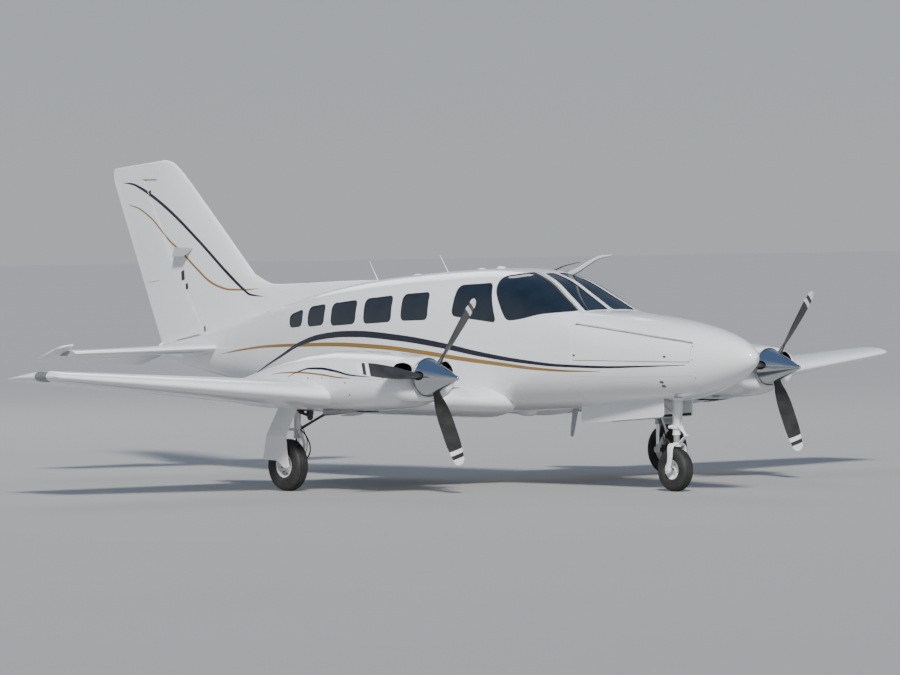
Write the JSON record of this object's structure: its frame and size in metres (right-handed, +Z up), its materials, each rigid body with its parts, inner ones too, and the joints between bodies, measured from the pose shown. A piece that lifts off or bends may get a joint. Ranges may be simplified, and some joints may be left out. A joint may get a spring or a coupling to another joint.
{
  "type": "light twin piston aircraft",
  "caption": "Low-wing twin-engine cabin aeroplane parked on its wheels, with turning propellers and wheels, steering nose leg, control surfaces, flaps, cabin door and nose hatches.",
  "frame": {"origin": "on the ground, under the middle of the bounding box", "axes": "+X forward to the nose, +Y to port along the span, +Z up"},
  "size_m": [11.0736, 11.67, 3.53],
  "materials": {
    "paint": "gloss",
    "propeller": "polished",
    "engine": "satin",
    "steel": "satin",
    "rim": "satin",
    "tyre": "matte",
    "rubber": "matte",
    "glass": "clear",
    "leather": "satin",
    "panel": "matte"
  },
  "bodies": {
    "airframe": {"cabin_floor": "paint", "side_wall_left": "paint", "side_wall_left_rear": "paint", "side_wall_right": "paint", "roof": "paint", "windshield_glass": "glass", "side_glass_left": "glass", "side_glass_left_rear": "glass", "side_glass_right": "glass", "nose_section": "paint", "tail_cone": "paint", "wing_left": "paint", "wing_right": "paint", "nacelle_left": "paint", "nacelle_right": "paint", "engine_block_left": "engine", "engine_block_right": "engine", "tailplane_left": "paint", "tailplane_right": "paint", "fin": "paint", "main_leg_left": "steel", "main_leg_right": "steel", "leg_door_left": "paint", "leg_door_right": "paint", "brake_hose_left": "rubber", "brake_hose_right": "rubber", "nose_leg": "paint", "nose_gear_door_left": "paint", "nose_gear_door_right": "paint", "crew_seats": "leather", "cabin_seats_left": "leather", "cabin_seats_right": "leather", "instrument_panel": "panel"},
    "aileron_port": {"aileron_left": "paint"},
    "aileron_starboard": {"aileron_right": "paint"},
    "flap_inner_port": {"flap_inner_left": "paint"},
    "flap_inner_starboard": {"flap_inner_right": "paint"},
    "flap_outer_port": {"flap_outer_left": "paint"},
    "flap_outer_starboard": {"flap_outer_right": "paint"},
    "elevator_body": {"elevator": "paint"},
    "rudder_body": {"rudder": "paint"},
    "propeller_port": {"propeller_left": "propeller"},
    "propeller_starboard": {"propeller_right": "propeller"},
    "main_wheel_port": {"main_tyre_left": "tyre", "main_rim_left": "rim"},
    "main_wheel_starboard": {"main_tyre_right": "tyre", "main_rim_right": "rim"},
    "nose_steering": {"nose_fork": "paint"},
    "nose_wheel": {"nose_tyre": "tyre", "nose_rim": "rim"},
    "baggage_door_port": {"baggage_door_left": "paint"},
    "baggage_door_starboard": {"baggage_door_right": "paint"},
    "door_upper": {"cabin_door_upper": "paint", "cabin_door_glass": "glass"},
    "door_lower": {"cabin_door_lower": "paint"}
  },
  "joints": [
    {"name": "propeller_port_spin", "type": "hinge", "parent": "airframe", "child": "propeller_port", "pos_m": [3.143, 2.39, 1.231], "axis": [1, 0, 0], "continuous": true},
    {"name": "propeller_starboard_spin", "type": "hinge", "parent": "airframe", "child": "propeller_starboard", "pos_m": [3.143, -2.39, 1.231], "axis": [1, 0, 0], "continuous": true},
    {"name": "main_wheel_port_roll", "type": "hinge", "parent": "airframe", "child": "main_wheel_port", "pos_m": [1.093, 2.675, 0.275], "axis": [0, 1, 0], "continuous": true},
    {"name": "main_wheel_starboard_roll", "type": "hinge", "parent": "airframe", "child": "main_wheel_starboard", "pos_m": [1.093, -2.675, 0.275], "axis": [0, 1, 0], "continuous": true},
    {"name": "nose_steer", "type": "hinge", "parent": "airframe", "child": "nose_steering", "pos_m": [4.275, 0, 0.62], "axis": [0, 0, 1], "range_deg": [-55, 55]},
    {"name": "nose_wheel_roll", "type": "hinge", "parent": "nose_steering", "child": "nose_wheel", "pos_m": [4.253, 0, 0.228], "axis": [0, 1, 0], "continuous": true},
    {"name": "aileron_port_hinge", "type": "hinge", "parent": "airframe", "child": "aileron_port", "pos_m": [0.596, 4.87, 1.1769], "axis": [-0.0058, 0.9958, 0.0913], "range_deg": [-18, 18]},
    {"name": "aileron_starboard_hinge", "type": "hinge", "parent": "airframe", "child": "aileron_starboard", "pos_m": [0.596, -4.87, 1.1769], "axis": [-0.0058, -0.9958, 0.0913], "range_deg": [-18, 18]},
    {"name": "flap_inner_port_hinge", "type": "hinge", "parent": "airframe", "child": "flap_inner_port", "pos_m": [0.4585, 1.2675, 0.81818], "axis": [-0.02, -0.9983, -0.0553], "range_deg": [0, 45]},
    {"name": "flap_inner_starboard_hinge", "type": "hinge", "parent": "airframe", "child": "flap_inner_starboard", "pos_m": [0.4585, -1.2675, 0.81818], "axis": [0.02, -0.9983, 0.0553], "range_deg": [0, 45]},
    {"name": "flap_outer_port_hinge", "type": "hinge", "parent": "airframe", "child": "flap_outer_port", "pos_m": [0.537, 3.5425, 1.00147], "axis": [-0.0266, -0.9941, -0.1053], "range_deg": [0, 45]},
    {"name": "flap_outer_starboard_hinge", "type": "hinge", "parent": "airframe", "child": "flap_outer_starboard", "pos_m": [0.537, -3.5425, 1.00147], "axis": [0.0266, -0.9941, 0.1053], "range_deg": [0, 45]},
    {"name": "elevator_hinge", "type": "hinge", "parent": "airframe", "child": "elevator_body", "pos_m": [-3.947, 0, 1.362], "axis": [0, 1, 0], "range_deg": [0, 43]},
    {"name": "rudder_hinge", "type": "hinge", "parent": "airframe", "child": "rudder_body", "pos_m": [-3.777, 0, 1.53], "axis": [-0.5584, 0, 0.8296], "range_deg": [-32, 32]},
    {"name": "baggage_door_port_hinge", "type": "hinge", "parent": "airframe", "child": "baggage_door_port", "pos_m": [4.09, 0.4232, 1.6415], "axis": [0.9818, -0.15, -0.1167], "range_deg": [0, 80]},
    {"name": "baggage_door_starboard_hinge", "type": "hinge", "parent": "airframe", "child": "baggage_door_starboard", "pos_m": [4.09, -0.4232, 1.6415], "axis": [-0.9818, -0.15, 0.1167], "range_deg": [0, 80]},
    {"name": "door_upper_hinge", "type": "hinge", "parent": "airframe", "child": "door_upper", "pos_m": [-0.44, 0.57042, 2.028], "axis": [0.9951, 0.0993, 0], "range_deg": [0, 85]},
    {"name": "door_lower_hinge", "type": "hinge", "parent": "airframe", "child": "door_lower", "pos_m": [-0.44, 0.6476, 1.047], "axis": [-0.9951, -0.0993, 0], "range_deg": [0, 110]}
  ],
  "couplings": [
    {"joint": "aileron_starboard_hinge", "follows": "aileron_port_hinge", "ratio": 1},
    {"joint": "flap_inner_starboard_hinge", "follows": "flap_inner_port_hinge", "ratio": 1},
    {"joint": "flap_outer_port_hinge", "follows": "flap_inner_port_hinge", "ratio": 1},
    {"joint": "flap_outer_starboard_hinge", "follows": "flap_inner_port_hinge", "ratio": 1}
  ]
}
